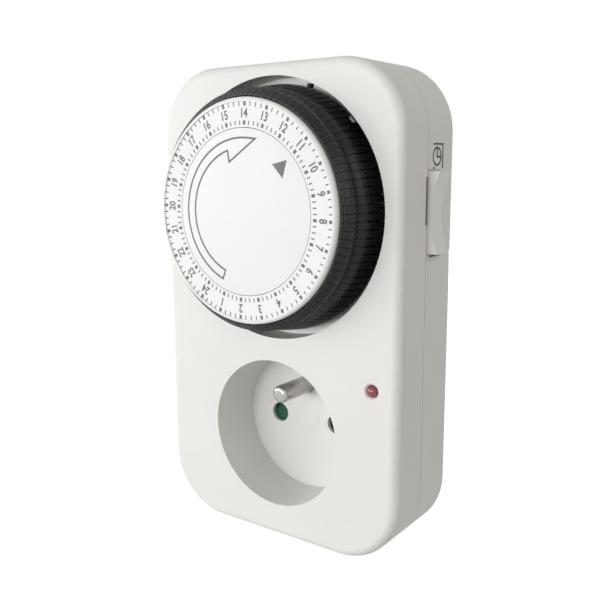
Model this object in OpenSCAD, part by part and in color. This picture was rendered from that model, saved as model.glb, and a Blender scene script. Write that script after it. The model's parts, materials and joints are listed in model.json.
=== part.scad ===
/* [Body] */
// Width of the body
body_w = 74; // [72:0.5:80]
// Height of the body
body_h = 123.5; // [122:0.5:132]
// Depth of the body from the front face to the back
body_d = 26; // [26:0.5:30]
// Radius of the four corners in the front view
corner_r = 17.3; // [16:0.1:19]
// Rounding of the front edge
edge_r = 2.3; // [2:0.1:3]
// Thickness of the moulded walls
wall = 2; // [1.6:0.1:2.2]
// Depth of the front cover, from the front face to the parting line
front_d = 12.4; // [12.4:0.1:13]
// Height of the body's centre above the outlet axis
body_rise = 33; // [32:0.1:34]

/* [Dial] */
// Height of the dial axis above the outlet axis
dial_rise = 58.7; // [58:0.1:59.4]
// How far the printed face stands in front of the body
face_proud = 11.2; // [10.8:0.1:12]
// Radius of the numbered ring
dial_r = 27.25; // [26.8:0.05:27.3]
// Radius of the fixed centre disc
disc_r = 19.95; // [17:0.05:21]
// Radius of the round well that the drum turns in
well_r = 32.8; // [32.6:0.1:33.4]
// Depth of the well
well_d = 7.6; // [7.6:0.1:7.8]
// Radius of the post that the drum turns on
post_r = 4; // [3.6:0.1:4.4]
// Radial gap of turning fits
running_gap = 0.06; // [0.04:0.01:0.08]

/* [Tappets] */
// Quarter-hour tappets around the drum
tappet_count = 96; // [96]
// Gap between neighbouring tappets
tappet_gap = 0.12; // [0.1:0.01:0.3]
// Travel of a tappet when it is pushed in
tappet_travel = 3; // [2:0.1:3]
// Radius of the ridged finger grip
grip_r = 29.3; // [29:0.1:29.6]
// Radius of the outer band and the prongs
band_r = 31; // [30.6:0.1:31]

/* [Gear train] */
// Tooth module of the gears
tooth_m = 0.5; // [0.5]
// Teeth of the gear on the drum
dial_teeth = 60; // [60]
// Teeth of both pinions
pinion_teeth = 12; // [12]
// Teeth of the reduction wheel
wheel_teeth = 48; // [48]
// Thinning of each tooth flank
flank_gap = 0.06; // [0.04:0.01:0.1]

/* [Outlet] */
// Radius of the outlet recess
recess_r = 19.75; // [19.5:0.05:20]
// Depth of the outlet recess
recess_d = 15.4; // [15.2:0.1:15.8]
// Distance between the two poles
pole_pitch = 19; // [19]
// Diameter of the contact holes
pole_hole_d = 5.4; // [5.1:0.1:5.6]
// Height of the earth pin above the pole line
earth_rise = 10; // [10]
// Diameter of the earth pin
earth_pin_d = 4.8; // [4.8]
// Length of the earth pin above the recess floor
earth_pin_len = 13.2; // [12:0.1:14]
// Angle that the shutter turns to open both holes
shutter_swing = 40; // [38:1:42]

/* [Plug] */
// Radius of the round boss on the back
boss_r = 18.5; // [18:0.1:18.6]
// Length of the boss behind the body
boss_len = 16; // [15:0.5:18]
// Diameter of the plug pins
plug_pin_d = 4.8; // [4.8]
// Length of the plug pins
plug_pin_len = 19; // [18.5:0.1:19.5]
// Diameter of the hole for the earth pin of the wall outlet
earth_bore_d = 5.4; // [5.2:0.1:5.6]

/* [Rocker] */
// Height of the rocker
rocker_h = 19.6; // [18:0.1:20]
// Width of the rocker along the body's depth
rocker_w = 6; // [5.6:0.1:6]
// How far both ends of the thumb face stand out of the side
thumb_end = 2.95; // [2:0.05:3]
// How far the middle of the thumb face stands out of the side
thumb_mid = 0.8; // [0.6:0.05:1.2]
// Tilt of the rocker in the position shown
rocker_tilt = 1; // [0:0.1:2]

/* [Indicator] */
// Distance of the lens from the middle of the body
lens_x = 29.8; // [29:0.1:30.2]
// Height of the lens above the outlet axis
lens_rise = 16.6; // [16:0.1:17]
// Radius of the lens
lens_r = 1.5; // [1.2:0.05:1.7]

/* [Hidden] */
$fn = 64;
front_y = -(boss_len + body_d);
rocker_rise = dial_rise + 0.1;
rocker_depth = front_d + 0.15;
slit_w = 0.65;
slit_low = -3.1;
slit_top = 8.3;
pocket_d = 1.6;
window_h = rocker_h + 0.3;
rocker_pivot_x = 33;
rocker_pin_r = 1;
rocker_at = [rocker_pivot_x, rocker_rise];

// Depths behind the front face
parting_gap = 0.2;
floor_t = 1.6;
floor_back = well_d + floor_t;
wheel_depth = floor_back + 0.4;
wheel_t = 1.6;
plate_depth = floor_back + 2.6;
plate_t = 1.2;
case_depth = plate_depth + plate_t;
case_t = 10.2;
gear_depth = 1.5;
gear_t = 2.5;
socket_t = 1.2;
shutter_depth = recess_d + socket_t + 0.3;
shutter_t = 1.8;
strip_depth = recess_d + socket_t + 2.7;
strip_t = 0.6;
flange_depth = strip_depth + strip_t + 0.1;
back_depth = body_d - wall;
plug_depth = body_d + boss_len;
pin_root_depth = plug_depth - 3.6;
lever_depth = floor_back + 0.6;
lever_t = 2.2;

// Well and drum
well_wall = 2.1;
core_r = 27.3;
core_in_r = 24;
core_front = -9.2;
core_back = 3.6;
hub_r = 6.5;
hub_back = 5.6;
collar_r = 7.5;
slot_root_r = 25.5;
slot_neck = 0.84;
slot_base = 1.24;
rib_play = 0.1;
tappet_front = -10.2;
prong_front = -3;
prong_back = well_d - tappet_travel - 0.6;
prong_share = 0.84;
ring_back = core_front - 0.1;
rim_lip = 0.4;
band_front = [29.8, -4];
tappet_pitch = 360 / tappet_count;
hour_zero_dir = -122.6;
tappets_per_hour = tappet_count / 24;
function tappet_dir(i) = hour_zero_dir + (i + 0.5) * tappet_pitch;

// Gear places: the wheel sits left of the dial axis and the motor above the wheel
wheel_dir = 200;
motor_dir = 62.8;
function pitch_r(n) = tooth_m * n / 2;
function aside(p, d, a) = [p[0] + d * cos(a), p[1] + d * sin(a)];
dial_at = [0, dial_rise];
wheel_at = aside(dial_at, pitch_r(dial_teeth) + pitch_r(pinion_teeth), wheel_dir);
motor_at = aside(wheel_at, pitch_r(wheel_teeth) + pitch_r(pinion_teeth), motor_dir);
motor_r = 15;
foot_r = 18.5;
foot_dirs = [150, -30];
axle_r = 0.9;
pinion_addendum = 1;
gear_addendum = 0.7;
dedendum = 1.25;

// Trip lever
nose_dir = 43;
floor_slot_dir = 77.5;
nose_r = band_r + 0.25;
window_half = 2.6;
finger_front = 0.8;
lever_at = [33, 75];
lever_pin_r = 1;
lever_hub_r = 1.8;
leaf_x = 29;
leaf_t = 0.3;
leaf_foot = 43;
leaf_top = 69;
eye_r = 0.5;
tail_at = [leaf_x + leaf_t + 1.4, 66.6];

// Fasteners
screw_places = [[-21.9, 88.5], [21.9, 88.5], [-26.6, -19.2], [26.6, -19.2]];
screw_boss_r = 3;
screw_r = 1.15;
screw_head_r = 2.6;
counterbore_depth = 18;

// Electric parts
pole_x = pole_pitch / 2;
contact_r = 3.2;
contact_well_r = 4.2;
feed_z = -9;
feed_x = 24;
load_x = 15;
strip_half = 2;
tab_half = 1.8;
tab_x = pole_x + plug_pin_d / 2 + 0.4;
root_t = 1.4;
shank_r = plug_pin_d / 2 - 0.4;
neck_len = 0.3;
plug_tip_e = 2;
earth_tip_e = 1.3;
lamp_r = 1.7;
clip_z = 16.7;
clip_half = 2.5;
rivet_r = 1.3;
rivet_depth = 13.6;
lead_r = 0.6;
thin_lead_r = 0.35;

// Shutter
stub_r = 3;
shutter_hub_r = 5.2;
wing_r = 12.9;
wing_half = shutter_swing - asin(pole_hole_d / 2 / pole_x) - 1.5;
spring_wire = 0.4;

// Bearings and bosses inside the shells
foot_boss_r = 2.6;
foot_pilot_r = 0.9;
lens_tube_r = 3;
lens_tube_back = 9;
lens_flange_r = 2.4;
bearing_x = 31;
bearing_half = 3;
bearing_back = 21.4;
stem_r = 2;
rest_post_r = 1.6;
rest_posts = [[feed_x, 8], [feed_x, 32], [load_x, 36], [21, 60]];

function tappet_name(hour) = str("tappets_", hour < 10 ? "0" : "", hour);
function dep(d) = front_y + d;

// An outline in the front view, x across and z up, filled between two depths
module slab(d0, d1) {
    translate([0, dep(d1), 0]) rotate([90, 0, 0]) linear_extrude(d1 - d0) children();
}

// A round bar along the depth axis
module bar(at, r, d0, d1) {
    translate([at[0], dep(d0), at[1]]) rotate([-90, 0, 0]) cylinder(r = r, h = d1 - d0);
}

// A tube along the depth axis
module pipe(at, r_out, r_in, d0, d1) {
    difference() {
        bar(at, r_out, d0, d1);
        bar(at, r_in, d0 - 1, d1 + 1);
    }
}

// A profile in radius and depth, turned about a depth axis
module turned(at, angle = 360) {
    translate([at[0], front_y, at[1]]) rotate([-90, 0, 0]) rotate_extrude(angle = angle) children();
}

// A box from x0 to x1, depth d0 to d1 and z0 to z1
module block(x0, x1, d0, d1, z0, z1) {
    translate([x0, dep(d0), z0]) cube([x1 - x0, d1 - d0, z1 - z0]);
}

// Wall profile of radius r between two depths, with the corner at the first depth rounded by e
module edge_profile(r, d0, d1, e) {
    s = sign(d1 - d0);
    arc = [for (a = [0:10:90]) [r - e + e * sin(a), d0 + s * e * (1 - cos(a))]];
    polygon(concat([[0, d0]], arc, [[r, d1], [0, d1]]));
}

// A rounded slab about the body's middle: four turned corners, four extruded sides and a core
module pebble(w, h, d0, d1, rc, e) {
    x = w / 2 - rc;
    z = h / 2 - rc;
    lo = min(d0, d1);
    hi = max(d0, d1);
    for (c = [[1, 1, -90], [-1, 1, 180], [-1, -1, 90], [1, -1, 0]])
        translate([c[0] * x, front_y, body_rise + c[1] * z]) rotate([-90, 0, 0])
            rotate([0, 0, c[2]]) rotate_extrude(angle = 90) edge_profile(rc, d0, d1, e);
    for (s = [-1, 1]) {
        translate([s * x, front_y, body_rise - z]) mirror([s < 0 ? 1 : 0, 0, 0])
            linear_extrude(2 * z) edge_profile(rc, d0, d1, e);
        translate([x, front_y, body_rise + s * z]) mirror([0, 0, s < 0 ? 1 : 0]) rotate([0, -90, 0])
            linear_extrude(2 * x) edge_profile(rc, d0, d1, e);
    }
    block(-x, x, lo, hi, body_rise - z, body_rise + z);
}

// A plain rounded outline about the body's middle
module body_outline(w, h, rc) {
    x = w / 2 - rc;
    z = h / 2 - rc;
    translate([0, body_rise]) {
        square([w, 2 * z], center = true);
        square([2 * x, h], center = true);
        for (sx = [-1, 1], sz = [-1, 1]) translate([sx * x, sz * z]) circle(rc);
    }
}

// A sector of an annulus with straight ends, about the dial axis
module sector(r0, r1, half_angle) {
    polygon([for (p = [[r0, -1], [r1, -1], [r1, 1], [r0, 1]])
        [p[0], p[1] * p[0] * tan(half_angle)]]);
}

// Involute gear outline with a tooth centred at the angle phase
function inv(a) = tan(a) * 180 / PI - a;
function half_tooth(n, r) = let (rb = pitch_r(n) * cos(20))
    90 / n + inv(20) - inv(acos(min(1, rb / max(r, rb)))) - flank_gap / pitch_r(n) * 180 / PI;
module gear_outline(n, phase, addendum) {
    root = pitch_r(n) - dedendum * tooth_m;
    tip = pitch_r(n) + addendum * tooth_m;
    rb = pitch_r(n) * cos(20);
    start = max(root + 0.02, rb);
    radii = concat([root], [for (i = [0:3]) start + (tip - start) * i / 3]);
    flank = [for (r = radii) [r, half_tooth(n, r)]];
    back = [for (i = [len(flank) - 1:-1:0]) flank[i]];
    polygon([for (i = [0:n - 1]) let (mid = phase + 360 * i / n)
        each concat(
            [for (f = flank) [f[0] * cos(mid - f[1]), f[0] * sin(mid - f[1])]],
            [for (f = back) [f[0] * cos(mid + f[1]), f[0] * sin(mid + f[1])]]
        )]);
}

module gear(at, n, phase, addendum, d0, d1) {
    translate([at[0], 0, at[1]]) slab(d0, d1) gear_outline(n, phase, addendum);
}

// The front shell with the dial well, the outlet tube and the bosses for what it carries
module front_cover() color("#ebeae6") {
    difference() {
        union() {
            difference() {
                pebble(body_w, body_h, 0, front_d, corner_r, edge_r);
                pebble(body_w - 2 * wall, body_h - 2 * wall, wall, front_d + 1, corner_r - wall, 1);
            }
            bar(dial_at, well_r + well_wall, wall / 2, floor_back);
            bar([0, 0], recess_r + wall, wall / 2, recess_d);
            for (p = screw_places) bar(p, screw_boss_r, wall / 2, front_d);
            for (a = foot_dirs) bar(aside(motor_at, foot_r, a), foot_boss_r, well_d + 0.5, plate_depth);
            bar([lens_x, lens_rise], lens_tube_r, wall / 2, lens_tube_back);
            bar(lever_at, lever_hub_r, wall / 2, floor_back + 0.4);
            block(bearing_x, body_w / 2 - wall / 2, floor_back, front_d - 0.2,
                rocker_rise - bearing_half, rocker_rise + bearing_half);
        }
        bar(dial_at, well_r, -1, well_d);
        bar([0, 0], recess_r, -1, recess_d + 1);
        for (p = screw_places) bar(p, screw_r, 4, front_d + 1);
        for (a = foot_dirs) bar(aside(motor_at, foot_r, a), foot_pilot_r, well_d + 0.8, plate_depth + 1);
        bar(wheel_at, pitch_r(pinion_teeth) + 0.9, well_d - 1, floor_back + 1);
        bar([lens_x, lens_rise], lens_r + 0.08, -1, wall + 1);
        translate([lens_x, dep(0), lens_rise]) rotate([-90, 0, 0])
            cylinder(r1 = lens_r + 0.5, r2 = lens_r, h = 0.5);
        bar([lens_x, lens_rise], lens_flange_r + 0.1, wall, lens_tube_back + 1);
        bar(lever_at, lever_pin_r + 0.02, 4, floor_back + 1);
        bar(rocker_at, rocker_pin_r + 0.02, floor_back + 0.5, front_d);
        block(body_w / 2 - wall - 0.5, body_w, front_d - slit_w, front_d + 1,
            rocker_rise + slit_low, rocker_rise + slit_top);
        nose_window();
        floor_slot();
    }
    centre_post();
}

// Window in the wall of the well for the nose of the trip lever
module nose_window() {
    translate([0, 0, dial_rise]) rotate([0, -nose_dir, 0])
        translate([nose_r - 0.4, dep(3), -window_half]) cube([7, floor_back - 2, 2 * window_half]);
}

// Narrow slot in the floor of the well
module floor_slot() {
    translate([0, 0, dial_rise]) rotate([0, -floor_slot_dir, 0])
        translate([band_r - 1.6, dep(well_d - 1), -1]) cube([2.4, floor_t + 2, 2]);
}

// Post that the drum turns on, with a thrust collar and a hole for the stem of the centre disc
module centre_post() {
    difference() {
        union() {
            bar(dial_at, post_r, core_front - 0.4, well_d + 0.5);
            bar(dial_at, collar_r, hub_back + 0.2, well_d + 0.5);
        }
        bar(dial_at, stem_r + 0.02, core_front - 1, core_front + 8);
    }
}

// The rear shell with the opening for the plug insert, the rocker window and the screw posts
module rear_cover() color("#ebeae6") difference() {
    union() {
        difference() {
            pebble(body_w, body_h, body_d, front_d + parting_gap, corner_r, 1);
            slab(front_d - 1, back_depth)
                body_outline(body_w - 2 * wall, body_h - 2 * wall, corner_r - wall);
        }
        locating_lip();
        for (p = screw_places) bar(p, screw_boss_r + 0.4, front_d, back_depth + wall / 2);
        bar(lever_at, lever_hub_r, lever_depth + lever_t + 0.6, back_depth + wall / 2);
        for (p = rest_posts)
            bar(p, rest_post_r, strip_depth + strip_t, back_depth + wall / 2);
        block(bearing_x, body_w / 2 - wall / 2, rocker_depth + rocker_w + 0.3, bearing_back,
            rocker_rise - bearing_half, rocker_rise + bearing_half);
    }
    for (p = screw_places) {
        bar(p, screw_r + 0.4, front_d - 1, body_d);
        bar(p, screw_head_r + 0.3, counterbore_depth, body_d + 1);
    }
    bar([0, 0], boss_r + 0.1, back_depth - 1, body_d + 1);
    bar(lever_at, lever_pin_r + 0.02, lever_depth, lever_depth + lever_t + 3);
    bar(rocker_at, rocker_pin_r + 0.02, rocker_depth + rocker_w, bearing_back - 0.4);
    slab(front_d - 2, rocker_depth + rocker_w + 0.15) rocker_window();
}

// Outline of the rocker window; its upper side rises inward, clear of the round end of the rocker
module rocker_window() {
    in = body_w / 2 - wall - 2;
    h = window_h / 2;
    translate([0, rocker_rise])
        polygon([[in, -h], [body_w, -h], [body_w, h], [body_w / 2, h], [in, h + 1.45]]);
}

// Lip of the rear shell that centres the two shells on each other
module locating_lip() {
    in_w = body_w - 2 * wall;
    in_h = body_h - 2 * wall;
    in_r = corner_r - wall;
    difference() {
        union() {
            slab(front_d - 1.6, front_d + 0.6) body_outline(in_w - 0.2, in_h - 0.2, in_r - 0.1);
            slab(front_d, front_d + 0.8) body_outline(in_w + 0.4, in_h + 0.4, in_r + 0.2);
        }
        slab(front_d - 2, front_d + 1) body_outline(in_w - 2, in_h - 2, in_r - 1);
        block(30, 36, front_d - 2, front_d + 1, rocker_rise - 12, lever_at[1] + 4);
    }
}

// Boss on the back: carries the pins, holds the contacts and clamps the outlet plate
module plug_insert() color("#e6e5e0") difference() {
    union() {
        bar([0, 0], boss_r, back_depth - 1, plug_depth);
        bar([0, 0], recess_r + 1.65, flange_depth, back_depth);
        pipe([0, 0], recess_r + 1.65, recess_r - 0.2, recess_d + socket_t, flange_depth + 1);
    }
    for (s = [-1, 1]) {
        bar([s * pole_x, 0], contact_well_r, flange_depth - 1, pin_root_depth);
        bar([s * pole_x, 0], shank_r + 0.03, pin_root_depth - 1, plug_depth + 1);
        bar([s * pole_x, 0], plug_pin_d / 2 + 0.2, plug_depth - 0.5, plug_depth + 1);
        block(s * boss_r - 1.9, s * boss_r + 1.9, body_d, plug_depth + 1, -2.8, 2.8);
        block(-3.4, 3.4, body_d + 1, plug_depth + 1, s * 17.2 - 1.8, s * 17.2 + 1.8);
        block(-clip_half - 0.2, clip_half + 0.2, flange_depth - 1, body_d + 2,
            s * clip_z - 1.2, s * clip_z + 1.2);
    }
    bar([0, earth_rise], earth_bore_d / 2, back_depth, plug_depth + 1);
    bar([0, earth_rise], contact_r + 0.2, flange_depth - 1, plug_depth - 4);
    block(pole_x - 2.3, pole_x + 2.3, flange_depth - 1, pin_root_depth, feed_z - 1.4, -2);
    block(13, 22, strip_depth - 0.4, flange_depth, feed_z - 2.4, feed_z + 2.4);
    for (s = [-1, 1])
        block(s * load_x - 2.2, s * load_x + 2.2, strip_depth - 1.4, flange_depth, 8, 20);
}

// Floor of the outlet recess with the contact holes and the stub that the shutter turns on
module socket_plate() color("#e8e7e2") {
    difference() {
        bar([0, 0], recess_r + 1.65, recess_d, recess_d + socket_t);
        for (s = [-1, 1]) bar([s * pole_x, 0], pole_hole_d / 2, recess_d - 1, recess_d + socket_t + 1);
        bar([0, earth_rise], earth_pin_d / 2 + 0.03, recess_d - 1, recess_d + socket_t + 1);
    }
    bar([0, 0], stub_r, recess_d + 1, shutter_depth + shutter_t + 0.45);
    pipe([0, 0], 3.95, 3.65, recess_d - 0.08, recess_d + 0.5);
}

module housing_screws() color("silver") for (p = screw_places) {
    bar(p, screw_r - 0.03, 5, counterbore_depth + 0.5);
    bar(p, screw_head_r, counterbore_depth + 0.05, counterbore_depth + 2);
}

// Fixed disc in the middle of the dial, on a stem in the centre post
module centre_disc() color("#f4f4f2") {
    turned(dial_at) polygon([[0, -face_proud], [disc_r - 0.25, -face_proud],
        [disc_r, -face_proud + 0.25], [disc_r, ring_back - 0.3], [0, ring_back - 0.3]]);
    bar(dial_at, stem_r, ring_back - 0.5, core_front + 7.5);
}

// Drum with one dovetail slot for each tappet, a hub and an open back for the gears
module tappet_drum() color("#222222") difference() {
    union() {
        difference() {
            translate([0, 0, dial_rise]) slab(core_front, core_back) drum_outline();
            bar(dial_at, core_in_r, core_front + 1.6, core_back + 1);
        }
        bar(dial_at, hub_r, core_front + 1, hub_back);
    }
    bar(dial_at, post_r + running_gap, core_front - 1, hub_back + 1);
}

module drum_outline() {
    polygon([for (i = [0:tappet_count - 1])
        each [for (p = [[core_r, -slot_neck], [slot_root_r, -slot_base], [slot_root_r, slot_base],
            [core_r, slot_neck]]) let (a = tappet_dir(i))
            [p[0] * cos(a) - p[1] / 2 * sin(a), p[0] * sin(a) + p[1] / 2 * cos(a)]]]);
}

// Numbered ring with a raised, rounded rim
module dial_ring() color("#f6f6f4") {
    round_r = 0.8;
    edge = dial_r - 1.05;
    top = -face_proud - rim_lip;
    arc = [for (a = [0:15:90]) [dial_r - round_r + round_r * sin(a), top + round_r * (1 - cos(a))]];
    turned(dial_at) polygon(concat([[disc_r + 0.2, -face_proud], [edge, -face_proud], [edge + 0.05, top]],
        arc, [[dial_r, ring_back], [disc_r + 0.2, ring_back]]));
}

module dial_gear() color("#d8d4c8") difference() {
    gear(dial_at, dial_teeth, wheel_dir, gear_addendum, gear_depth, gear_depth + gear_t);
    bar(dial_at, hub_r + 0.02, gear_depth - 1, gear_depth + gear_t + 1);
}

// Wheel behind the well with its pinion reaching through the floor to the dial gear
module reduction_gear() color("#d8d4c8") difference() {
    union() {
        gear(wheel_at, wheel_teeth, motor_dir, gear_addendum, wheel_depth, wheel_depth + wheel_t);
        bar(wheel_at, 2.3, gear_depth + 2, wheel_depth + 0.5);
        gear(wheel_at, pinion_teeth, wheel_dir - 180 + 180 / pinion_teeth, pinion_addendum,
            gear_depth - 0.4, gear_depth + gear_t + 0.4);
    }
    bar(wheel_at, axle_r + running_gap, gear_depth - 1, wheel_depth + wheel_t + 1);
}

module wheel_axle() color("silver") bar(wheel_at, axle_r, gear_depth - 1, case_depth);

// Geared motor in a drawn can
module motor_case() color("#b8b6b0") difference() {
    bar(motor_at, motor_r, case_depth, case_depth + case_t);
    bar(motor_at, axle_r + running_gap, case_depth - 1, case_depth + 3);
}

// Plate of the motor with two feet and the bearing for the wheel axle
module motor_plate() color("silver") difference() {
    slab(plate_depth, case_depth) {
        translate(motor_at) circle(motor_r + 0.5);
        translate(wheel_at) circle(3);
        for (a = foot_dirs) translate(motor_at) rotate(a) {
            translate([foot_r, 0]) circle(foot_boss_r);
            translate([motor_r - 3, -2.2]) square([foot_r - motor_r + 3, 4.4]);
        }
    }
    bar(motor_at, axle_r + 0.6, plate_depth - 1, case_depth + 1);
    bar(wheel_at, axle_r, plate_depth - 1, case_depth + 1);
    for (a = foot_dirs) bar(aside(motor_at, foot_r, a), 1.1, plate_depth - 1, case_depth + 1);
}

module motor_screws() color("silver") for (a = foot_dirs) {
    bar(aside(motor_at, foot_r, a), foot_pilot_r - 0.03, well_d + 1.2, case_depth + 0.5);
    bar(aside(motor_at, foot_r, a), 1.9, case_depth + 0.02, case_depth + 1.4);
}

module motor_pinion() color("goldenrod") {
    gear(motor_at, pinion_teeth, motor_dir + 180 + 180 / pinion_teeth, pinion_addendum,
        wheel_depth - 0.1, wheel_depth + wheel_t + 0.2);
    bar(motor_at, axle_r, wheel_depth + 1, case_depth + 2.6);
}

// Lever whose nose feels the pushed tappets and whose tail presses the contact leaf
module trip_lever() color("#e0ddd2") {
    difference() {
        union() {
            slab(lever_depth, lever_depth + lever_t) {
                translate(lever_at) circle(lever_hub_r);
                arm(lever_at, aside(dial_at, nose_r + 3.4, nose_dir), 1.4);
                arm(lever_at, tail_at, 1.2);
            }
            nose();
        }
        bar(lever_at, lever_pin_r + running_gap, lever_depth - 1, lever_depth + lever_t + 1);
    }
}

// A straight arm drawn between two points of the front view
module arm(a, b, half) {
    v = b - a;
    translate(a) rotate(atan2(v[1], v[0])) translate([0, -half]) square([norm(v), 2 * half]);
}

// Nose of the trip lever: a post that points at the dial axis, with a thin finger reaching forward
module nose() {
    translate([0, 0, dial_rise]) rotate([0, -nose_dir, 0]) difference() {
        slab(finger_front, lever_depth + lever_t - 0.4)
            polygon([[nose_r, -0.6], [nose_r + 1.2, -1.5], [nose_r + 4.2, -1.5],
                [nose_r + 4.2, 1.5], [nose_r + 1.2, 1.5], [nose_r, 0.6]]);
        block(nose_r + 0.7, nose_r + 5, finger_front - 1, 3.6, -2, 2);
    }
}

module lever_pin() color("silver") bar(lever_at, lever_pin_r, 4.2, lever_depth + lever_t + 2.8);

// Hairpin spring behind the trip lever
module trip_spring() color("silver") {
    d = lever_depth + lever_t + 0.1;
    pipe(lever_at, 1.7, lever_pin_r + 0.1, d, d + 0.4);
    block(lever_at[0] - 1.6, lever_at[0] - 1.2, d, d + 0.4, lever_at[1] - 6, lever_at[1]);
    block(lever_at[0] + 1.2, lever_at[0] + 1.6, d, d + 0.4, lever_at[1], lever_at[1] + 3.6);
}

// Springy strip with a rolled eye at the foot and a contact rivet
module contact_leaf() color("#c08a4a") {
    block(leaf_x, leaf_x + leaf_t, 10, 16, leaf_foot, leaf_top);
    bar([leaf_x + leaf_t / 2, leaf_foot + eye_r], eye_r, 10, 16);
    translate([leaf_x, dep(rivet_depth), leaf_top - 3]) rotate([0, -90, 0])
        cylinder(r = rivet_r, h = 0.5);
}

// Two-position rocker with a hollow thumb face; its upper end is round about the pivot
module rocker() color("#f0efec") {
    half = rocker_h / 2;
    side = body_w / 2 - rocker_pivot_x;
    out = side + thumb_end;
    sag = thumb_end - thumb_mid;
    thumb_r = (half * half + sag * sag) / (2 * sag);
    end_r = norm([side, window_h / 2]) - 0.12;
    end_arc = [for (a = [63.5:1.5:72.5]) [end_r * cos(a), end_r * sin(a)]];
    difference() {
        slab(rocker_depth, rocker_depth + rocker_w)
            translate(rocker_at) rotate(-rocker_tilt) difference() {
                union() {
                    polygon(concat([[out, half], [side + 1.2, half]], end_arc,
                        [[1.6, half - 1.6], [1.6, 1.6 - half], [2.4, 0.3 - half],
                        [side, 0.08 - half], [out, -half]]));
                    circle(2.4);
                    translate([-3.2, -6.5]) square([5, 2.4]);
                }
                translate([out - sag + thumb_r, 0]) circle(thumb_r, $fn = 180);
            }
        bar(rocker_at, rocker_pin_r + running_gap, rocker_depth - 1, rocker_depth + rocker_w + 1);
        block(body_w / 2 - 2, body_w / 2 - 0.1, rocker_depth - 1, rocker_depth + pocket_d,
            rocker_rise + slit_low - 0.4, rocker_rise + slit_top);
    }
}

module rocker_pin() color("silver") bar(rocker_at, rocker_pin_r, floor_back + 0.7, bearing_back - 0.6);

// Shutter with two ramped wings that cover the contact holes
module shutter() color("#1d5c3d") difference() {
    slab(shutter_depth, shutter_depth + shutter_t) {
        circle(shutter_hub_r);
        for (a = [0, 180]) rotate(a) sector(shutter_hub_r - 1, wing_r, wing_half);
    }
    bar([0, 0], stub_r + running_gap, shutter_depth - 1, shutter_depth + shutter_t + 1);
    for (a = [0, 180]) rotate([0, a, 0]) translate([pole_x, dep(shutter_depth), 0]) rotate([25, 0, 0])
        translate([-3, -3, -3.4]) cube([6, 3, 6]);
}

// Torsion spring behind the shutter
module shutter_spring() color("silver") {
    d = shutter_depth + shutter_t + 0.1;
    turned([0, 0], 300) translate([stub_r + 0.4, d]) square(spring_wire);
    block(0, spring_wire, d, d + spring_wire, -recess_r + 0.5, -stub_r - 0.5);
}

// Profile of a pin between two depths, with a flat middle and a rounding e at the first one
module pin_profile(r, tip, root, e) {
    s = sign(root - tip);
    arc = [for (a = [0:10:90]) [r - e + e * sin(a), tip + s * e * (1 - cos(a))]];
    polygon(concat([[0, tip]], arc, [[r, root], [0, root]]));
}

// Earth pin of the outlet with a flange behind the plate
module earth_pin() color("#c9c7c0") {
    r = earth_pin_d / 2;
    behind = recess_d + socket_t;
    turned([0, earth_rise]) pin_profile(r, recess_d - earth_pin_len, behind + 0.5, earth_tip_e);
    bar([0, earth_rise], r + 0.8, behind, behind + 0.8);
    bar([0, earth_rise], r - 0.6, behind, strip_depth);
}

// Strap between the earth pin, the sleeve and the two side clips of the boss
module earth_strap() color("#c9a24a") {
    reach = clip_z + strip_t / 2;
    block(-clip_half, clip_half, strip_depth, strip_depth + strip_t, -reach, reach);
    for (s = [-1, 1])
        block(-clip_half, clip_half, strip_depth, plug_depth - 2,
            s * clip_z - strip_t / 2, s * clip_z + strip_t / 2);
}

module earth_sleeve() color("#c9a24a") {
    pipe([0, earth_rise], contact_r, earth_bore_d / 2, flange_depth + 0.4, plug_depth - 4.2);
    bar([0, earth_rise], contact_r, strip_depth + strip_t, flange_depth + 0.5);
}

// Solid pin with a round end, a thinner shank in the boss and a root flange
module plug_pin(s) {
    turned([s * pole_x, 0])
        pin_profile(plug_pin_d / 2, plug_depth + plug_pin_len, plug_depth + neck_len, plug_tip_e);
    bar([s * pole_x, 0], shank_r, pin_root_depth - 0.5, plug_depth + neck_len + 0.5);
    bar([s * pole_x, 0], contact_well_r - 0.15, pin_root_depth - root_t, pin_root_depth);
}

module live_pin() color("#c9c7c0") plug_pin(1);

module neutral_pin() color("#c9c7c0") plug_pin(-1);

// Split sleeve that grips a pin of the plug in the outlet
module contact_sleeve(s, d0, d1) {
    difference() {
        pipe([s * pole_x, 0], contact_r, plug_pin_d / 2 + 0.15, d0, d1);
        block(s * pole_x - 0.5, s * pole_x + 0.5, flange_depth, flange_depth + 9, -5, 5);
    }
}

module live_contact() color("#c9a24a") contact_sleeve(1, strip_depth + strip_t, pin_root_depth - 4);

module neutral_contact() color("#c9a24a") {
    contact_sleeve(-1, strip_depth, pin_root_depth - root_t);
    block(-load_x - 1, -tab_x, strip_depth, strip_depth + strip_t, -tab_half, tab_half);
}

// Strip from the live pin to the contact leaf
module live_feed_strip() color("#c9a24a") {
    tab = pin_root_depth - root_t - strip_t;
    anchor_x = leaf_x + leaf_t + eye_r + strip_t;
    block(pole_x - strip_half, pole_x + strip_half, tab, tab + strip_t,
        feed_z - strip_t / 2, strip_half);
    block(pole_x - strip_half, pole_x + strip_half, strip_depth, tab + strip_t,
        feed_z - strip_t / 2, feed_z + strip_t / 2);
    block(pole_x - strip_half, feed_x + strip_half, strip_depth, strip_depth + strip_t,
        feed_z - strip_half, feed_z + strip_half);
    block(feed_x - strip_half, feed_x + strip_half, strip_depth, strip_depth + strip_t,
        feed_z - strip_half, leaf_foot);
    block(feed_x - strip_half, anchor_x, strip_depth, strip_depth + strip_t, leaf_foot - 4, leaf_foot);
    block(anchor_x - strip_t, anchor_x, 11, strip_depth + strip_t, leaf_foot - 4, leaf_foot + 3);
}

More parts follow.
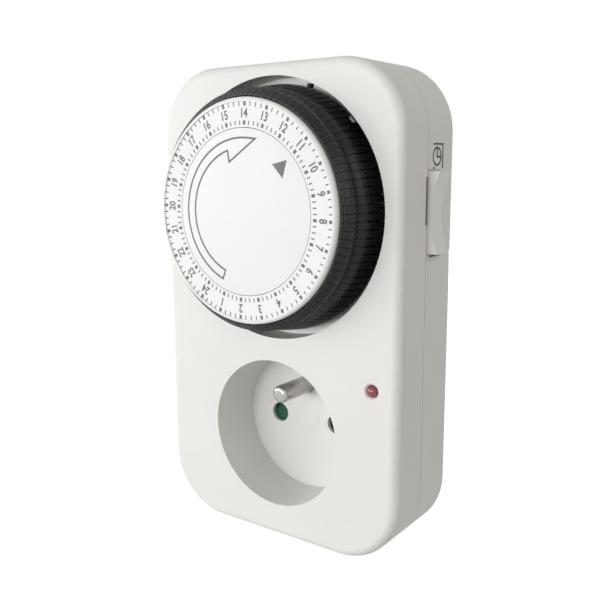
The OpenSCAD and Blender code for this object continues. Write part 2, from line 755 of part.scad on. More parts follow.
// Strip from the fixed contact to the live contact of the outlet
module live_load_strip() color("#c9a24a") {
    fixed_x = leaf_x - 1.6;
    block(tab_x, load_x + strip_half, strip_depth, strip_depth + strip_t, -tab_half, tab_half);
    block(load_x - strip_half, load_x + strip_half, strip_depth, strip_depth + strip_t, -tab_half, 62);
    block(load_x - strip_half, fixed_x, strip_depth, strip_depth + strip_t, 58, 62);
    block(fixed_x - strip_t, fixed_x, 11, strip_depth + strip_t, 58, leaf_top - 1);
    translate([fixed_x, dep(rivet_depth), leaf_top - 3]) rotate([0, 90, 0])
        cylinder(r = rivet_r, h = 0.3);
}

// Domed lens with a flange behind the wall
module indicator_lens() color("#b04048") {
    at = [lens_x, lens_rise];
    dome_r = 1.9;
    intersection() {
        bar(at, lens_r, -0.8, wall + 0.1);
        translate([lens_x, dep(dome_r - 0.7), lens_rise]) sphere(dome_r);
    }
    bar(at, lens_r, 0.9, wall + 0.5);
    bar(at, lens_flange_r, wall + 0.02, wall + 1.2);
}

// Glow lamp behind the lens and its series resistor
module indicator_lamp() color("#d9b48a") {
    turned([lens_x, lens_rise]) pin_profile(lamp_r, 3.8, 12, lamp_r - 0.3);
    translate([lens_x, dep(15), lens_rise - 9]) cylinder(r = 1.2, h = 6.5);
}

// A straight insulated lead between two points
module wire(a, b, r) {
    v = b - a;
    translate(a) rotate([0, acos(v[2] / norm(v)), atan2(v[1], v[0])]) cylinder(r = r, h = norm(v));
}

// Leads of the motor and of the lamp
module wiring() color("#3a5f9a") {
    lead_y = dep(strip_depth - 0.8);
    lamp_y = dep(12.2);
    wire([-load_x, lead_y, -1.5],
        [-load_x, lead_y, motor_at[1] - motor_r + 0.6], lead_r);
    wire([feed_x - 1.5, lead_y, leaf_foot - 2],
        [motor_at[0] + motor_r - 0.6, lead_y, motor_at[1] - 5.3], lead_r);
    wire([lens_x - 0.8, lamp_y, lens_rise],
        [feed_x + 1.8, dep(strip_depth - 0.5), lens_rise], thin_lead_r);
    wire([lens_x + 0.8, lamp_y, lens_rise],
        [lens_x + 0.6, dep(14.7), lens_rise - 1.6], thin_lead_r);
}

// One tappet on the +x side: ridged grip, outer band, prong and a dovetail rib
module tappet() {
    half = tappet_pitch / 2;
    neck = slot_neck / 2 - rib_play;
    base = slot_base / 2 - rib_play;
    inner = core_r + 0.2;
    wide = [for (p = [[inner, -1], [band_r + 1, -1], [band_r + 1, 1], [inner, 1]])
        [p[0], p[1] * (p[0] * tan(half) - tappet_gap / 2)]];
    intersection() {
        union() {
            slab(tappet_front, prong_front) polygon(wide);
            slab(prong_front, prong_back) sector(inner, band_r + 1, half * prong_share);
            slab(core_front + 0.4, core_back - 0.2) polygon([[slot_root_r + 0.15, -base],
                [inner + 0.1, -neck], [inner + 0.1, neck], [slot_root_r + 0.15, base]]);
        }
        translate([0, front_y, -2]) linear_extrude(4) tappet_profile();
    }
}

// Side view of a tappet in radius and depth: four ridges on the sloping grip, then a widening band
module tappet_profile() {
    ridges = 4;
    from = [27.8, tappet_front];
    to = [grip_r, tappet_front + 1.6];
    step = (to - from) / ridges;
    notch = [-0.1, 0.1];
    polygon(concat(
        [[slot_root_r - 0.5, tappet_front]],
        [for (i = [0:ridges - 1]) each [from + step * i, from + step * (i + 0.6),
            from + step * (i + 0.8) + notch]],
        [to, [grip_r, -6.9], [grip_r - 0.35, -6.7], [grip_r - 0.35, -5], band_front,
            [band_r, prong_back - 0.6], [band_r, prong_back], [slot_root_r - 0.5, prong_back]]
    ));
}

// The four tappets of one hour
module tappets(hour) color("#262626") {
    for (i = [0:tappets_per_hour - 1])
        translate([0, 0, dial_rise])
            rotate([0, -tappet_dir(hour * tappets_per_hour + i), 0]) tappet();
}

front_cover();
rear_cover();
plug_insert();
socket_plate();
housing_screws();
centre_disc();
tappet_drum();
dial_ring();
dial_gear();
reduction_gear();
wheel_axle();
motor_case();
motor_plate();
motor_screws();
motor_pinion();
trip_lever();
lever_pin();
trip_spring();
contact_leaf();
rocker();
rocker_pin();
shutter();
shutter_spring();
earth_pin();
earth_strap();
earth_sleeve();
live_pin();
neutral_pin();
live_contact();
neutral_contact();
live_feed_strip();
live_load_strip();
indicator_lens();
indicator_lamp();
wiring();
for (hour = [1:24]) tappets(hour);
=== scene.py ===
import json
import math

import bmesh
import bpy
import numpy as np
from mathutils import Matrix


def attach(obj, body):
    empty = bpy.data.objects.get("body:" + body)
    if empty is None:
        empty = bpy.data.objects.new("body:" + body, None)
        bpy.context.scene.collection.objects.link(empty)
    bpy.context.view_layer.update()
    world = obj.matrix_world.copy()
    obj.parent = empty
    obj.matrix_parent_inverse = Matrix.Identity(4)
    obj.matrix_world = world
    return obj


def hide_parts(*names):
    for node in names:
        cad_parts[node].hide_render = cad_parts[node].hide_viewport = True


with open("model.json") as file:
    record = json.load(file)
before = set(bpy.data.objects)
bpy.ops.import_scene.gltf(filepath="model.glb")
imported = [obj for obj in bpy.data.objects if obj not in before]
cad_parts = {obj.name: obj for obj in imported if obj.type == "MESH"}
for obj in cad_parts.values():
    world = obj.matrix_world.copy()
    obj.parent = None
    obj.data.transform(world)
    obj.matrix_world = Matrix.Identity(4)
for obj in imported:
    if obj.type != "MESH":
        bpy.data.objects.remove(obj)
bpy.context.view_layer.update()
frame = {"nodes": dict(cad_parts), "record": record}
nodes = frame["nodes"]
scene = bpy.context.scene

MM = 0.001
FRONT_Y = -42.0          # the body's front face, row frame, millimetres
DIAL_Z = 58.7            # height of the dial axis above the outlet axis
FACE_D = -11.2           # depth of the printed face, measured from the body's front face
DISC_R = 19.95           # fixed centre disc
RING_R = 27.15           # numbered ring
HOUR_ZERO = -122.6       # direction of hour 0 on the dial, degrees from +X, counter-clockwise
SIDE_X = 37.0            # right-hand side of the body
BODY_LOW = -28.75        # underside of the body
HOURS = range(1, 25)


def place_mesh(name, points_mm, faces, body, material, smooth_angle=None):
    """A mesh object at the origin from points in millimetres.

    A closed one gives its smoothing angle, and its faces are turned to look outward.
    """
    mesh = bpy.data.meshes.new(name)
    mesh.from_pydata((np.asarray(points_mm, float) * MM).tolist(), [], [list(map(int, f)) for f in faces])
    mesh.update()
    piece = bpy.data.objects.new(name, mesh)
    scene.collection.objects.link(piece)
    if smooth_angle is not None:
        b = bmesh.new()
        b.from_mesh(mesh)
        bmesh.ops.recalc_face_normals(b, faces=b.faces)
        b.to_mesh(mesh)
        b.free()
        mesh.shade_smooth()
        mesh.set_sharp_from_angle(angle=math.radians(smooth_angle))
    mesh.materials.append(material)
    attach(piece, body)
    return piece


def grid_faces(rows, columns, wrap):
    """Quads of a grid whose columns close on themselves when wrap is set."""
    r = np.arange(rows - 1)[:, None]
    c = np.arange(columns if wrap else columns - 1)[None, :]
    n = (c + 1) % columns
    row, below = r * columns, (r + 1) * columns
    return np.stack([row + c, row + n, below + n, below + c], -1).reshape(-1, 4)


def weld(points, quads):
    """Points that coincide become one, and quads that lose a corner become triangles."""
    key = np.round(points, 5)
    _, first, back = np.unique(key, axis=0, return_index=True, return_inverse=True)
    q = back.reshape(-1)[quads]
    same = q == np.roll(q, -1, axis=1)
    lost = same.sum(1)
    faces = q[lost == 0].tolist()
    t, s = q[lost == 1], same[lost == 1]
    faces += t[~s].reshape(-1, 3).tolist()
    return points[first], faces


def turn(profile, at, count=160):
    """Profile of (radius, depth) pairs carried round a depth axis.

    x = r cos t and z = r sin t about the axis, y = front face + depth.
    """
    p = np.asarray(profile, float)
    t = np.linspace(0, 2 * np.pi, count, endpoint=False)
    r, d = p[:, :1], p[:, 1:]
    points = np.stack([at[0] + r * np.cos(t), FRONT_Y + d + 0 * t, at[1] + r * np.sin(t)], -1).reshape(-1, 3)
    return weld(points, grid_faces(len(p), count, True))


def arc(centre, radius, start, end, steps):
    """Points of a circle arc in the profile plane, angles in degrees."""
    a = np.radians(np.linspace(start, end, steps))
    return np.stack([centre[0] + radius * np.cos(a), centre[1] + radius * np.sin(a)], 1)


def ribbon(path, width, closed):
    """Both edges of a flat line of even width: each point moves half the width along its mitred normal."""
    p = np.asarray(path, float)
    ahead, behind = np.roll(p, -1, 0) - p, p - np.roll(p, 1, 0)
    if not closed:
        ahead[-1], behind[0] = behind[-1], ahead[0]
    ahead /= np.linalg.norm(ahead, axis=1)[:, None]
    behind /= np.linalg.norm(behind, axis=1)[:, None]
    mid = ahead + behind
    mid /= np.linalg.norm(mid, axis=1)[:, None]
    normal = np.stack([-mid[:, 1], mid[:, 0]], 1)
    reach = np.clip((mid * ahead).sum(1), 0.3, 1)[:, None]
    return np.stack([p + normal * width / 2 / reach, p - normal * width / 2 / reach], 0)


def ribbon_faces(count, closed):
    """Quads between the two edges of a ribbon."""
    i = np.arange(count if closed else count - 1)
    n = (i + 1) % count
    return np.stack([i, n, n + count, i + count], 1)


def outward(points, faces, direction):
    """Faces of a flat piece, turned so that they look along the given direction."""
    f = [list(q) for q in faces]
    a, b, c = (np.asarray(points)[[q[k] for q in f]] for k in range(3))
    away = (np.cross(b - a, c - a) * np.asarray(direction)).sum(1) < 0
    return [q[::-1] if turned else q for q, turned in zip(f, away)]


def group(name, inputs, outputs):
    """An empty shader node group with named float inputs and outputs."""
    g = bpy.data.node_groups.new(name, "ShaderNodeTree")
    for label, value in inputs:
        s = g.interface.new_socket(label, in_out="INPUT", socket_type="NodeSocketFloat")
        s.default_value = value
    for label in outputs:
        g.interface.new_socket(label, in_out="OUTPUT", socket_type="NodeSocketFloat")
    return g, g.nodes.new("NodeGroupInput"), g.nodes.new("NodeGroupOutput")


def moulded_grain_group():
    """Spark-eroded mould texture: fine noise for relief and gloss, and broad soft noise for the tint."""
    g, i, o = group("moulded_grain", [("Scale", 1.0)], ["Relief", "Broad"])
    coord = g.nodes.new("ShaderNodeTexCoord")
    scaled = g.nodes.new("ShaderNodeVectorMath")
    scaled.operation = "SCALE"
    g.links.new(coord.outputs["Object"], scaled.inputs[0])
    g.links.new(i.outputs["Scale"], scaled.inputs["Scale"])
    for label, scale, detail in (("Relief", 2100.0, 3.0), ("Broad", 45.0, 2.0)):
        noise = g.nodes.new("ShaderNodeTexNoise")
        noise.inputs["Scale"].default_value = scale
        noise.inputs["Detail"].default_value = detail
        g.links.new(scaled.outputs["Vector"], noise.inputs["Vector"])
        g.links.new(noise.outputs["Fac"], o.inputs[label])
    return g


def drawn_lines_group():
    """Fine lines of drawn or turned metal: noise stretched along one axis of the object's coordinates."""
    g, i, o = group("drawn_lines", [("Along", 40.0), ("Across", 4000.0)], ["Lines", "Broad"])
    coord = g.nodes.new("ShaderNodeTexCoord")
    joined = g.nodes.new("ShaderNodeCombineXYZ")
    g.links.new(i.outputs["Across"], joined.inputs["X"])
    g.links.new(i.outputs["Along"], joined.inputs["Y"])
    g.links.new(i.outputs["Across"], joined.inputs["Z"])
    stretch = g.nodes.new("ShaderNodeVectorMath")
    stretch.operation = "MULTIPLY"
    g.links.new(coord.outputs["Object"], stretch.inputs[0])
    g.links.new(joined.outputs["Vector"], stretch.inputs[1])
    for label, scale in (("Lines", 1.0), ("Broad", 0.12)):
        noise = g.nodes.new("ShaderNodeTexNoise")
        noise.inputs["Scale"].default_value = scale
        g.links.new(stretch.outputs["Vector"], noise.inputs["Vector"])
        g.links.new(noise.outputs["Fac"], o.inputs[label])
    return g


GRAIN = moulded_grain_group()
LINES = drawn_lines_group()
GRAIN_DEPTH = 0.00003    # metres of relief at full strength


def finish(name, light, dark, rough, relief, grain=GRAIN, masks=("Relief", "Broad"), scale=None, **shader):
    """A Principled material: a group's broad mask drives its tint, the fine one its gloss and relief."""
    m = bpy.data.materials.new(name)
    m.use_nodes = True
    t = m.node_tree
    p = t.nodes["Principled BSDF"]
    n = t.nodes.new("ShaderNodeGroup")
    n.node_tree = grain
    if scale is not None:
        n.inputs["Scale"].default_value = scale
    ramp = t.nodes.new("ShaderNodeValToRGB")
    ramp.color_ramp.elements[0].position = 0.32
    ramp.color_ramp.elements[1].position = 0.68
    ramp.color_ramp.elements[0].color = (*dark, 1)
    ramp.color_ramp.elements[1].color = (*light, 1)
    t.links.new(n.outputs[masks[1]], ramp.inputs["Fac"])
    t.links.new(ramp.outputs["Color"], p.inputs["Base Color"])
    gloss = t.nodes.new("ShaderNodeMapRange")
    gloss.inputs["From Min"].default_value = 0.3
    gloss.inputs["From Max"].default_value = 0.7
    gloss.inputs["To Min"].default_value = rough[0]
    gloss.inputs["To Max"].default_value = rough[1]
    t.links.new(n.outputs[masks[0]], gloss.inputs["Value"])
    t.links.new(gloss.outputs["Result"], p.inputs["Roughness"])
    bump = t.nodes.new("ShaderNodeBump")
    bump.inputs["Strength"].default_value = min(relief, 1)
    bump.inputs["Distance"].default_value = GRAIN_DEPTH * max(relief, 1)
    t.links.new(n.outputs[masks[0]], bump.inputs["Height"])
    t.links.new(bump.outputs["Normal"], p.inputs["Normal"])
    for label, value in shader.items():
        p.inputs[label.replace("_", " ")].default_value = value
    return m


def metal(name, light, dark, rough):
    """Bare metal with drawn lines."""
    return finish(name, light, dark, rough, 0.25, LINES, ("Lines", "Broad"), Metallic=1.0)


shell_white = finish("shell_white", (0.802, 0.793, 0.768), (0.778, 0.769, 0.744), (0.44, 0.58), 1.7, IOR=1.46)
rocker_white = finish("rocker_white", (0.81, 0.798, 0.770), (0.79, 0.778, 0.750), (0.20, 0.28), 0.12, IOR=1.5)
# Socket plate: the shell's white made a little darker, as painted shade of the recessed outlet floor.
plate_shade_white = finish("plate_shade_white", (0.762, 0.752, 0.728), (0.738, 0.728, 0.704), (0.40, 0.52), 0.30,
                     IOR=1.46)
dial_white = finish("dial_white", (0.85, 0.847, 0.837), (0.83, 0.827, 0.817), (0.50, 0.58), 0.05,
                    Specular_IOR_Level=0.35)
tappet_black = finish("tappet_black", (0.0080, 0.0080, 0.0082), (0.0052, 0.0052, 0.0054), (0.26, 0.30), 0.03,
                      Specular_IOR_Level=0.27)
gear_cream = finish("gear_cream", (0.70, 0.67, 0.58), (0.64, 0.61, 0.52), (0.40, 0.50), 0.2)
lever_grey = finish("lever_grey", (0.26, 0.255, 0.245), (0.22, 0.215, 0.205), (0.38, 0.48), 0.15)
shutter_green = finish("shutter_green", (0.015, 0.105, 0.055), (0.010, 0.075, 0.040), (0.32, 0.42), 0.25)
lens_red = finish("lens_red", (0.28, 0.048, 0.054), (0.21, 0.030, 0.036), (0.16, 0.24), 0.05, Coat_Weight=0.3)
lamp_glow = finish("lamp_glow", (0.78, 0.52, 0.34), (0.66, 0.42, 0.26), (0.10, 0.16), 0.03)
lead_blue = finish("lead_blue", (0.05, 0.12, 0.36), (0.035, 0.09, 0.28), (0.35, 0.45), 0.1)
print_ink = finish("print_ink", (0.155, 0.140, 0.133), (0.120, 0.108, 0.102), (0.50, 0.60), 0.05)
side_ink = finish("side_ink", (0.045, 0.040, 0.037), (0.032, 0.028, 0.026), (0.50, 0.60), 0.05)
steel_grey = metal("steel_grey", (0.60, 0.60, 0.61), (0.48, 0.48, 0.49), (0.24, 0.36))
nickel_plate = metal("nickel_plate", (0.47, 0.46, 0.44), (0.38, 0.37, 0.35), (0.14, 0.22))
brass_strip = metal("brass_strip", (0.70, 0.51, 0.23), (0.58, 0.41, 0.17), (0.22, 0.34))
phosphor_leaf = metal("phosphor_leaf", (0.66, 0.40, 0.21), (0.54, 0.31, 0.15), (0.22, 0.34))

TAPPETS = [f"tappets_{h:02d}" for h in HOURS]
MATERIAL_OF = {
    shell_white: ["front_cover", "rear_cover", "plug_insert"],
    plate_shade_white: ["socket_plate"],
    rocker_white: ["rocker"],
    dial_white: ["centre_disc", "dial_ring"],
    tappet_black: ["tappet_drum", *TAPPETS],
    gear_cream: ["dial_gear", "reduction_gear"],
    lever_grey: ["trip_lever"],
    steel_grey: ["housing_screws", "wheel_axle", "motor_case", "motor_plate", "motor_screws", "lever_pin",
                 "trip_spring", "rocker_pin", "shutter_spring"],
    nickel_plate: ["earth_pin", "live_pin", "neutral_pin"],
    brass_strip: ["earth_strap", "earth_sleeve", "live_contact", "neutral_contact", "live_feed_strip",
                  "live_load_strip", "motor_pinion"],
    phosphor_leaf: ["contact_leaf"],
    shutter_green: ["shutter"],
    lens_red: ["indicator_lens"],
    lamp_glow: ["indicator_lamp"],
    lead_blue: ["wiring"],
}
for material, members in MATERIAL_OF.items():
    for member in members:
        nodes[member].data.materials.clear()
        nodes[member].data.materials.append(material)


BODY_OF = {n: b for b, members in frame["record"]["behaviour"]["bodies"].items() for n in members}


def softened(node, width_mm, sharp=30.0, segments=2, choose=None):
    """A welded copy of a solid whose sharp edges get a small rounding.

    A test of the edges' end points, where given, picks which of them are rounded.
    """
    mesh = nodes[node].data.copy()
    b = bmesh.new()
    b.from_mesh(mesh)
    bmesh.ops.remove_doubles(b, verts=b.verts, dist=1e-7)
    bmesh.ops.dissolve_limit(b, angle_limit=math.radians(0.4), verts=b.verts, edges=b.edges)
    b.to_mesh(mesh)
    b.free()
    mesh.shade_smooth()
    mesh.set_sharp_from_angle(angle=math.radians(sharp))
    piece = bpy.data.objects.new(node + "_moulded", mesh)
    scene.collection.objects.link(piece)
    bevel = piece.modifiers.new("edge", "BEVEL")
    bevel.width = width_mm * MM
    bevel.segments = segments
    bevel.limit_method = "ANGLE"
    bevel.angle_limit = math.radians(sharp)
    if choose is not None:
        spots = np.zeros(len(mesh.vertices) * 3)
        mesh.vertices.foreach_get("co", spots)
        ends = np.zeros(len(mesh.edges) * 2, int)
        mesh.edges.foreach_get("vertices", ends)
        crease = np.zeros(len(mesh.edges), bool)
        mesh.attributes["sharp_edge"].data.foreach_get("value", crease)
        both = spots.reshape(-1, 3)[ends.reshape(-1, 2)] / MM
        chosen = crease & choose(both[:, 0], both[:, 1])
        weight = mesh.attributes.new("bevel_weight_edge", "FLOAT", "EDGE")
        weight.data.foreach_set("value", chosen.astype(np.float32))
        bevel.limit_method = "WEIGHT"
    bevel.use_clamp_overlap = True
    normals = piece.modifiers.new("normals", "WEIGHTED_NORMAL")
    normals.keep_sharp = True
    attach(piece, BODY_OF[node])
    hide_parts(node)


for node, width in (("front_cover", 0.14), ("rear_cover", 0.14), ("plug_insert", 0.3), ("socket_plate", 0.2),
                    ("trip_lever", 0.15)):
    softened(node, width)
softened("rocker", 0.45, 30.0, 4, lambda a, b: np.minimum(a[:, 0], b[:, 0]) > SIDE_X + 0.05)


SAME_SPOT = 1e-3         # millimetres
GRIP_INNER_R = 27.7      # the tappets' grips lie outside this radius


def runs_round_dial(a, b):
    """True for grip edges whose two ends have the same depth and the same distance from the dial axis."""
    reach = [np.hypot(p[:, 0], p[:, 2] - DIAL_Z) for p in (a, b)]
    level = np.abs(a[:, 1] - b[:, 1]) < SAME_SPOT
    return level & (np.abs(reach[0] - reach[1]) < SAME_SPOT) & (reach[0] > GRIP_INNER_R)


for node in TAPPETS:
    softened(node, 0.07, 20.0, 1, runs_round_dial)


INK_LIFT = 0.02          # the ink's height above its surface
QUARTERS = 96            # quarter-hours on the dial
TICK_RINGS = ((25.05, 26.05), (20.7, 21.7))
HOUR_TICK, QUARTER_TICK = 0.38, 0.15      # half the width of a tick
DIGIT_HEIGHT, DIGIT_NARROW, DIGIT_FOOT_R = 2.2, 0.80, 22.35
ARROW_OUTER_R, ARROW_INNER_R, ARROW_TAIL, ARROW_LINE = 17.75, 15.4, 248, 0.46
POINTER_AT, POINTER_TIP_R, POINTER_FOOT_R, POINTER_HALF = 43.0, 18.35, 14.55, 2.2


def digit_shapes(text, height):
    """Flat outline of a number, centred on x with its foot on y = 0, as points and faces in millimetres."""
    curve = bpy.data.curves.new("digits", "FONT")
    curve.body = text
    curve.align_x = "CENTER"
    curve.resolution_u = 4
    curve.offset = 0.026
    holder = bpy.data.objects.new("digits", curve)
    scene.collection.objects.link(holder)
    bpy.context.view_layer.update()
    mesh = bpy.data.meshes.new_from_object(holder.evaluated_get(bpy.context.evaluated_depsgraph_get()))
    points = np.zeros(len(mesh.vertices) * 3)
    mesh.vertices.foreach_get("co", points)
    faces = [list(f.vertices) for f in mesh.polygons]
    bpy.data.objects.remove(holder)
    bpy.data.curves.remove(curve)
    bpy.data.meshes.remove(mesh)
    flat = points.reshape(-1, 3)[:, :2]
    flat = flat - [(flat[:, 0].min() + flat[:, 0].max()) / 2, flat[:, 1].min()]
    return flat * height / flat[:, 1].max(), faces


def print_on_dial(name, flat, faces, body):
    """Ink just in front of the dial's face, from flat points about the dial axis."""
    spots = np.stack([flat[:, 0], np.full(len(flat), FRONT_Y + FACE_D - INK_LIFT), DIAL_Z + flat[:, 1]], 1)
    place_mesh(name, spots, outward(spots, faces, (0, -1, 0)), body, print_ink)


def dial_printing():
    """Hour numbers with their tops outward, and two rings of quarter-hour ticks, bold at the hours."""
    points, faces, start = [], [], 0
    quarter = np.arange(QUARTERS)
    angle = np.radians(HOUR_ZERO + quarter * 360 / QUARTERS)
    half = np.where(quarter % 4 == 0, HOUR_TICK, QUARTER_TICK)
    along = np.stack([np.cos(angle), np.sin(angle)], 1)[:, None, :]
    across = np.stack([-np.sin(angle), np.cos(angle)], 1)[:, None, :]
    for r0, r1 in TICK_RINGS:
        r = np.array([r0, r1, r1, r0])[None, :, None]
        side = np.array([-1, -1, 1, 1])[None, :, None] * half[:, None, None]
        flat = (along * r + across * side).reshape(-1, 2)
        points.append(flat)
        faces += (np.arange(QUARTERS * 4).reshape(-1, 4) + start).tolist()
        start += len(flat)
    for hour in HOURS:
        flat, f = digit_shapes(str(hour), DIGIT_HEIGHT)
        a = math.radians(HOUR_ZERO + 15 * hour)
        up = np.array([math.cos(a), math.sin(a)])
        right = np.array([math.sin(a), -math.cos(a)])
        points.append((flat[:, 1:] + DIGIT_FOOT_R) * up + flat[:, :1] * DIGIT_NARROW * right)
        faces += [[i + start for i in q] for q in f]
        start += len(flat)
    print_on_dial("dial_printing", np.concatenate(points), faces, "dial")


def disc_printing():
    """A curved arrow's outline and a pointer triangle.

    The arrow is two arcs about the dial axis with a barbed head and a blunt end.
    """
    def polar(r, degrees):
        a = np.radians(degrees)
        return np.stack([r * np.cos(a), r * np.sin(a)], -1)
    outer = polar(np.full(60, ARROW_OUTER_R), np.linspace(ARROW_TAIL, 84, 60))
    head = polar(np.array([17.9, 12.7, ARROW_INNER_R]), np.array([76.5, 108.0, 106.5]))
    inner = polar(np.full(60, ARROW_INNER_R), np.linspace(107.5, ARROW_TAIL, 60))
    path = np.concatenate([outer, head, inner])
    edge = ribbon(path, ARROW_LINE, True)
    flat = edge.reshape(-1, 2)
    faces = ribbon_faces(len(path), True).tolist()
    t = math.radians(POINTER_AT)
    up, right = np.array([math.cos(t), math.sin(t)]), np.array([math.sin(t), -math.cos(t)])
    foot, half = POINTER_FOOT_R * up, POINTER_HALF * right
    faces.append([len(flat), len(flat) + 1, len(flat) + 2])
    flat = np.concatenate([flat, [POINTER_TIP_R * up, foot + half, foot - half]])
    print_on_dial("disc_printing", flat, faces, "housing")


def side_printing():
    """Rocker signs on the right-hand side: a clock between bracket lines above, and a dash below."""
    t = np.linspace(0, 2 * np.pi, 48, endpoint=False)
    circle = np.stack([-25.0 + 2.05 * np.cos(t), 71.9 + 2.05 * np.sin(t)], 1)
    strokes = [                       # path of (depth, height), line width, closed
        (circle, 0.54, True),
        ([[-25.0, 73.7], [-25.0, 71.8]], 0.62, False),
        ([[-25.3, 71.8], [-23.1, 71.8]], 0.46, False),
        ([[-27.0, 74.8], [-21.7, 74.8]], 0.46, False),
        ([[-22.0, 74.6], [-22.0, 69.1]], 0.60, False),
        ([[-27.2, 69.15], [-25.9, 69.15]], 0.34, False),
        ([[-27.8, 48.2], [-22.2, 48.2]], 0.58, False),
    ]
    points, faces, start = [], [], 0
    for path, width, closed in strokes:
        edge = ribbon(path, width, closed).reshape(-1, 2)
        faces += (ribbon_faces(len(path), closed) + start).tolist()
        points.append(edge)
        start += len(edge)
    flat = np.concatenate(points)
    spots = np.stack([np.full(len(flat), SIDE_X + INK_LIFT), flat[:, 0], flat[:, 1]], 1)
    faces = outward(spots, faces, (1, 0, 0))
    place_mesh("side_printing", spots, faces, "housing", side_ink)


dial_printing()
disc_printing()
side_printing()


def numbered_ring():
    """Ring of the dial: a flat face inside a raised rim with a round shoulder."""
    soft, top = 0.95, FACE_D - 0.4
    step = RING_R - 1.1
    bore, back = DISC_R + 0.2, -9.3
    profile = np.concatenate([
        [[bore, back], [bore, FACE_D + 0.06]],
        arc((bore + 0.06, FACE_D + 0.06), 0.06, 180, 270, 5),
        [[step, FACE_D], [step + 0.03, top + 0.08]],
        arc((step + 0.11, top + 0.08), 0.08, 180, 270, 5),
        arc((RING_R - soft, top + soft), soft, -90, 0, 14),
        [[RING_R, back], [bore, back]]])
    points, faces = turn(profile, (0, DIAL_Z), 240)
    piece = place_mesh("numbered_ring", points, faces, "dial", dial_white, 25)
    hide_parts("dial_ring")


def middle_disc():
    """Fixed disc: a flat face with a small round edge, on a stem."""
    edge, rim, stem, back, foot = 0.08, DISC_R + 0.06, 2.0, -9.6, -1.8
    profile = np.concatenate([
        [[0, FACE_D]], arc((rim - edge, FACE_D + edge), edge, -90, 0, 5),
        [[rim, back], [stem, back], [stem, foot], [0, foot]]])
    points, faces = turn(profile, (0, DIAL_Z), 240)
    piece = place_mesh("middle_disc", points, faces, "housing", dial_white, 40)
    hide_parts("centre_disc")


numbered_ring()
middle_disc()


def round_pin(name, node, at, radius, tip, root, e, rest):
    """A turned pin: a flat tip with a round edge of radius e, a straight shaft and the points behind it."""
    way = 1 if root > tip else -1
    a = np.radians(np.linspace(0, 90, 16))
    edge = np.stack([radius - e + e * np.sin(a), tip + way * e * (1 - np.cos(a))], 1)
    points, faces = turn(np.concatenate([[[0, tip]], edge, [[radius, root]], rest]), at, 64)
    piece = place_mesh(name, points, faces, "housing", nickel_plate, 40)
    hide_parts(node)


round_pin("outlet_earth_pin", "earth_pin", (0, 10.0), 2.4, 2.2, 16.6, 1.3,
          [[3.2, 16.6], [3.2, 17.4], [1.8, 17.4], [1.8, 19.3], [0, 19.3]])
for side, node in ((1, "live_pin"), (-1, "neutral_pin")):
    round_pin("plug_" + node, node, (side * 9.5, 0), 2.4, 61.0, 42.3, 2.0,
              [[2.0, 42.3], [2.0, 38.4], [4.05, 38.4], [4.05, 37.0], [0, 37.0]])


SCREWS_AT = ((-21.9, 88.5), (21.9, 88.5), (-26.6, -19.2), (26.6, -19.2))
SCREW_FACE_R, SCREW_SHANK_R, SCREW_PITCH = 2.55, 1.12, 0.9


def case_screws():
    """Four shell screws: a pan head whose face sinks in a cross, and a shank whose radius follows a helix."""
    count = 48
    t = np.linspace(0, 2 * np.pi, count, endpoint=False)[None, :]
    r = np.linspace(0, SCREW_FACE_R, 22)[:, None]
    x, z = r * np.cos(t), r * np.sin(t)
    arm = np.minimum(np.abs(x), np.abs(z))
    cross = np.clip((0.42 - arm) / 0.14, 0, 1) * np.clip((1.75 - r) / 0.3, 0, 1)
    face = 20.0 - 0.32 * (r / SCREW_FACE_R) ** 3 - 0.95 * cross
    rim_r = np.array([[2.6], [2.6], [2.5], [SCREW_SHANK_R]])
    rim_d = np.array([[19.5], [18.3], [18.05], [18.05]])
    down = np.linspace(17.9, 5.2, 120)[:, None]
    helix = np.abs((down / SCREW_PITCH + t / (2 * np.pi)) % 1 - 0.5) * 2
    thread = SCREW_SHANK_R - 0.24 * np.clip(helix * 1.6 - 0.5, 0, 1)
    shank = thread * np.clip((down - 4.7) / 1.2, 0.2, 1)
    radius = np.concatenate([r + 0 * t, rim_r + 0 * t, shank, 0 * t])
    depth = np.concatenate([face, rim_d + 0 * t, down + 0 * t, 5.0 + 0 * t])
    one = np.stack([radius * np.cos(t), FRONT_Y + depth, radius * np.sin(t)], -1).reshape(-1, 3)
    at = np.insert(np.array(SCREWS_AT), 1, 0, axis=1)
    quads = grid_faces(len(radius), count, True) + (np.arange(len(at)) * len(one))[:, None, None]
    points, faces = weld((at[:, None] + one).reshape(-1, 3), quads.reshape(-1, 4))
    piece = place_mesh("case_screws", points, faces, "housing", steel_grey, 50)
    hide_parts("housing_screws")


case_screws()


CAMERA_DISTANCE = 195.372     # millimetres from the target
FOCAL_PIXELS, PICTURE_PIXELS = 782.64, 600


def stand(holder, x, y, back, spot):
    """Puts a camera or a lamp at a spot, with its axes along the three given directions."""
    holder.matrix_world = Matrix([*np.column_stack([x, y, back, spot]).tolist(), [0, 0, 0, 1]])
    scene.collection.objects.link(holder)


def photo_camera():
    """Camera fitted to the photograph: position, direction and roll in the row frame."""
    az, el, roll = np.radians([36.057, 10.162, -0.251])
    back = np.array([np.sin(az) * np.cos(el), -np.cos(az) * np.cos(el), np.sin(el)])
    right = np.array([np.cos(az), np.sin(az), 0.0])
    up = np.cross(back, right)
    x = right * np.cos(roll) + up * np.sin(roll)
    y = up * np.cos(roll) - right * np.sin(roll)
    target = np.array([8.832, FRONT_Y - 0.059, 36.757])
    spot = (target + back * CAMERA_DISTANCE) * MM
    data = bpy.data.cameras.new("photo_camera")
    data.sensor_width = 36.0
    data.lens = FOCAL_PIXELS / PICTURE_PIXELS * data.sensor_width
    data.clip_start = 0.005
    holder = bpy.data.objects.new("photo_camera", data)
    stand(holder, x, y, back, spot)
    scene.camera = holder


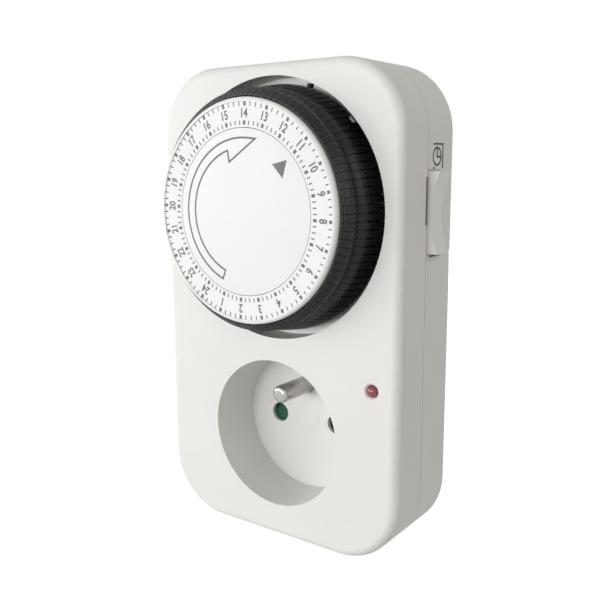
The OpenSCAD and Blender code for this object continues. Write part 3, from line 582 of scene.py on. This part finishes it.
def soft_lamp(name, spot, aim, size, power, tint=(1, 1, 1), wide=1.0):
    """An area lamp that points at a spot, in metres and watts; wide is its width over its height."""
    data = bpy.data.lights.new(name, "AREA")
    data.shape = "RECTANGLE"
    data.size = size * wide
    data.size_y = size
    data.energy = power
    data.color = tint
    holder = bpy.data.objects.new(name, data)
    back = np.asarray(spot, float) - np.asarray(aim, float)
    back /= np.linalg.norm(back)
    x = np.cross([0, 0, 1.0], back)
    x /= np.linalg.norm(x)
    stand(holder, x, np.cross(back, x), back, spot)


def seen_directly(tree):
    """1 where the camera sees a surface itself, in a reflection or through glass."""
    path = tree.nodes.new("ShaderNodeLightPath")
    most = path.outputs["Is Camera Ray"]
    for label in ("Is Glossy Ray", "Is Transmission Ray"):
        either = tree.nodes.new("ShaderNodeMath")
        either.operation = "MAXIMUM"
        tree.links.new(most, either.inputs[0])
        tree.links.new(path.outputs[label], either.inputs[1])
        most = either.outputs[0]
    return most


def white_world():
    """White where it is seen, and an even soft light on the object."""
    world = bpy.data.worlds.new("studio")
    scene.world = world
    world.use_nodes = True
    t = world.node_tree
    light = t.nodes["Background"]
    light.inputs["Color"].default_value = (1, 1, 1, 1)
    light.inputs["Strength"].default_value = 0.285
    shown = t.nodes.new("ShaderNodeBackground")
    shown.inputs["Color"].default_value = (1, 1, 1, 1)
    shown.inputs["Strength"].default_value = 1.0
    mix = t.nodes.new("ShaderNodeMixShader")
    t.links.new(seen_directly(t), mix.inputs[0])
    t.links.new(light.outputs[0], mix.inputs[1])
    t.links.new(shown.outputs[0], mix.inputs[2])
    t.links.new(mix.outputs[0], t.nodes["World Output"].inputs[0])


def pale_floor():
    """A wide pale floor under the body that shows white with a faint shadow."""
    material = bpy.data.materials.new("pale_floor")
    material.use_nodes = True
    t = material.node_tree
    t.nodes.remove(t.nodes["Principled BSDF"])
    plain = t.nodes.new("ShaderNodeBsdfDiffuse")
    plain.inputs["Color"].default_value = (0.52, 0.52, 0.52, 1)
    dim = t.nodes.new("ShaderNodeBsdfDiffuse")
    dim.inputs["Color"].default_value = (0.4, 0.4, 0.4, 1)
    glow = t.nodes.new("ShaderNodeEmission")
    glow.inputs["Strength"].default_value = 0.9
    lit = t.nodes.new("ShaderNodeAddShader")
    mix = t.nodes.new("ShaderNodeMixShader")
    t.links.new(dim.outputs[0], lit.inputs[0])
    t.links.new(glow.outputs[0], lit.inputs[1])
    t.links.new(seen_directly(t), mix.inputs[0])
    t.links.new(plain.outputs[0], mix.inputs[1])
    t.links.new(lit.outputs[0], mix.inputs[2])
    t.links.new(mix.outputs[0], t.nodes["Material Output"].inputs[0])
    mesh = bpy.data.meshes.new("pale_floor")
    low = (BODY_LOW - 0.05) * MM
    mesh.from_pydata([(-6, -6, low), (6, -6, low), (6, 6, low), (-6, 6, low)], [], [(0, 1, 2, 3)])
    mesh.materials.append(material)
    floor = bpy.data.objects.new("pale_floor", mesh)
    scene.collection.objects.link(floor)


photo_camera()
white_world()
pale_floor()
AIM = (0.0, -0.03, 0.035)
soft_lamp("key_left", (-0.40, -0.46, 0.08), AIM, 0.2, 1.9, wide=3.4)
soft_lamp("front_fill", (-0.05, -1.1, 0.12), AIM, 0.28, 4.15)
soft_lamp("right_fill", (1.1, -0.1, 0.55), AIM, 0.7, 3.4, (1.0, 0.955, 0.84))
soft_lamp("back_fill", (-0.22, 0.62, 0.033), AIM, 0.12, 1.7)
scene.view_settings.view_transform = "Standard"
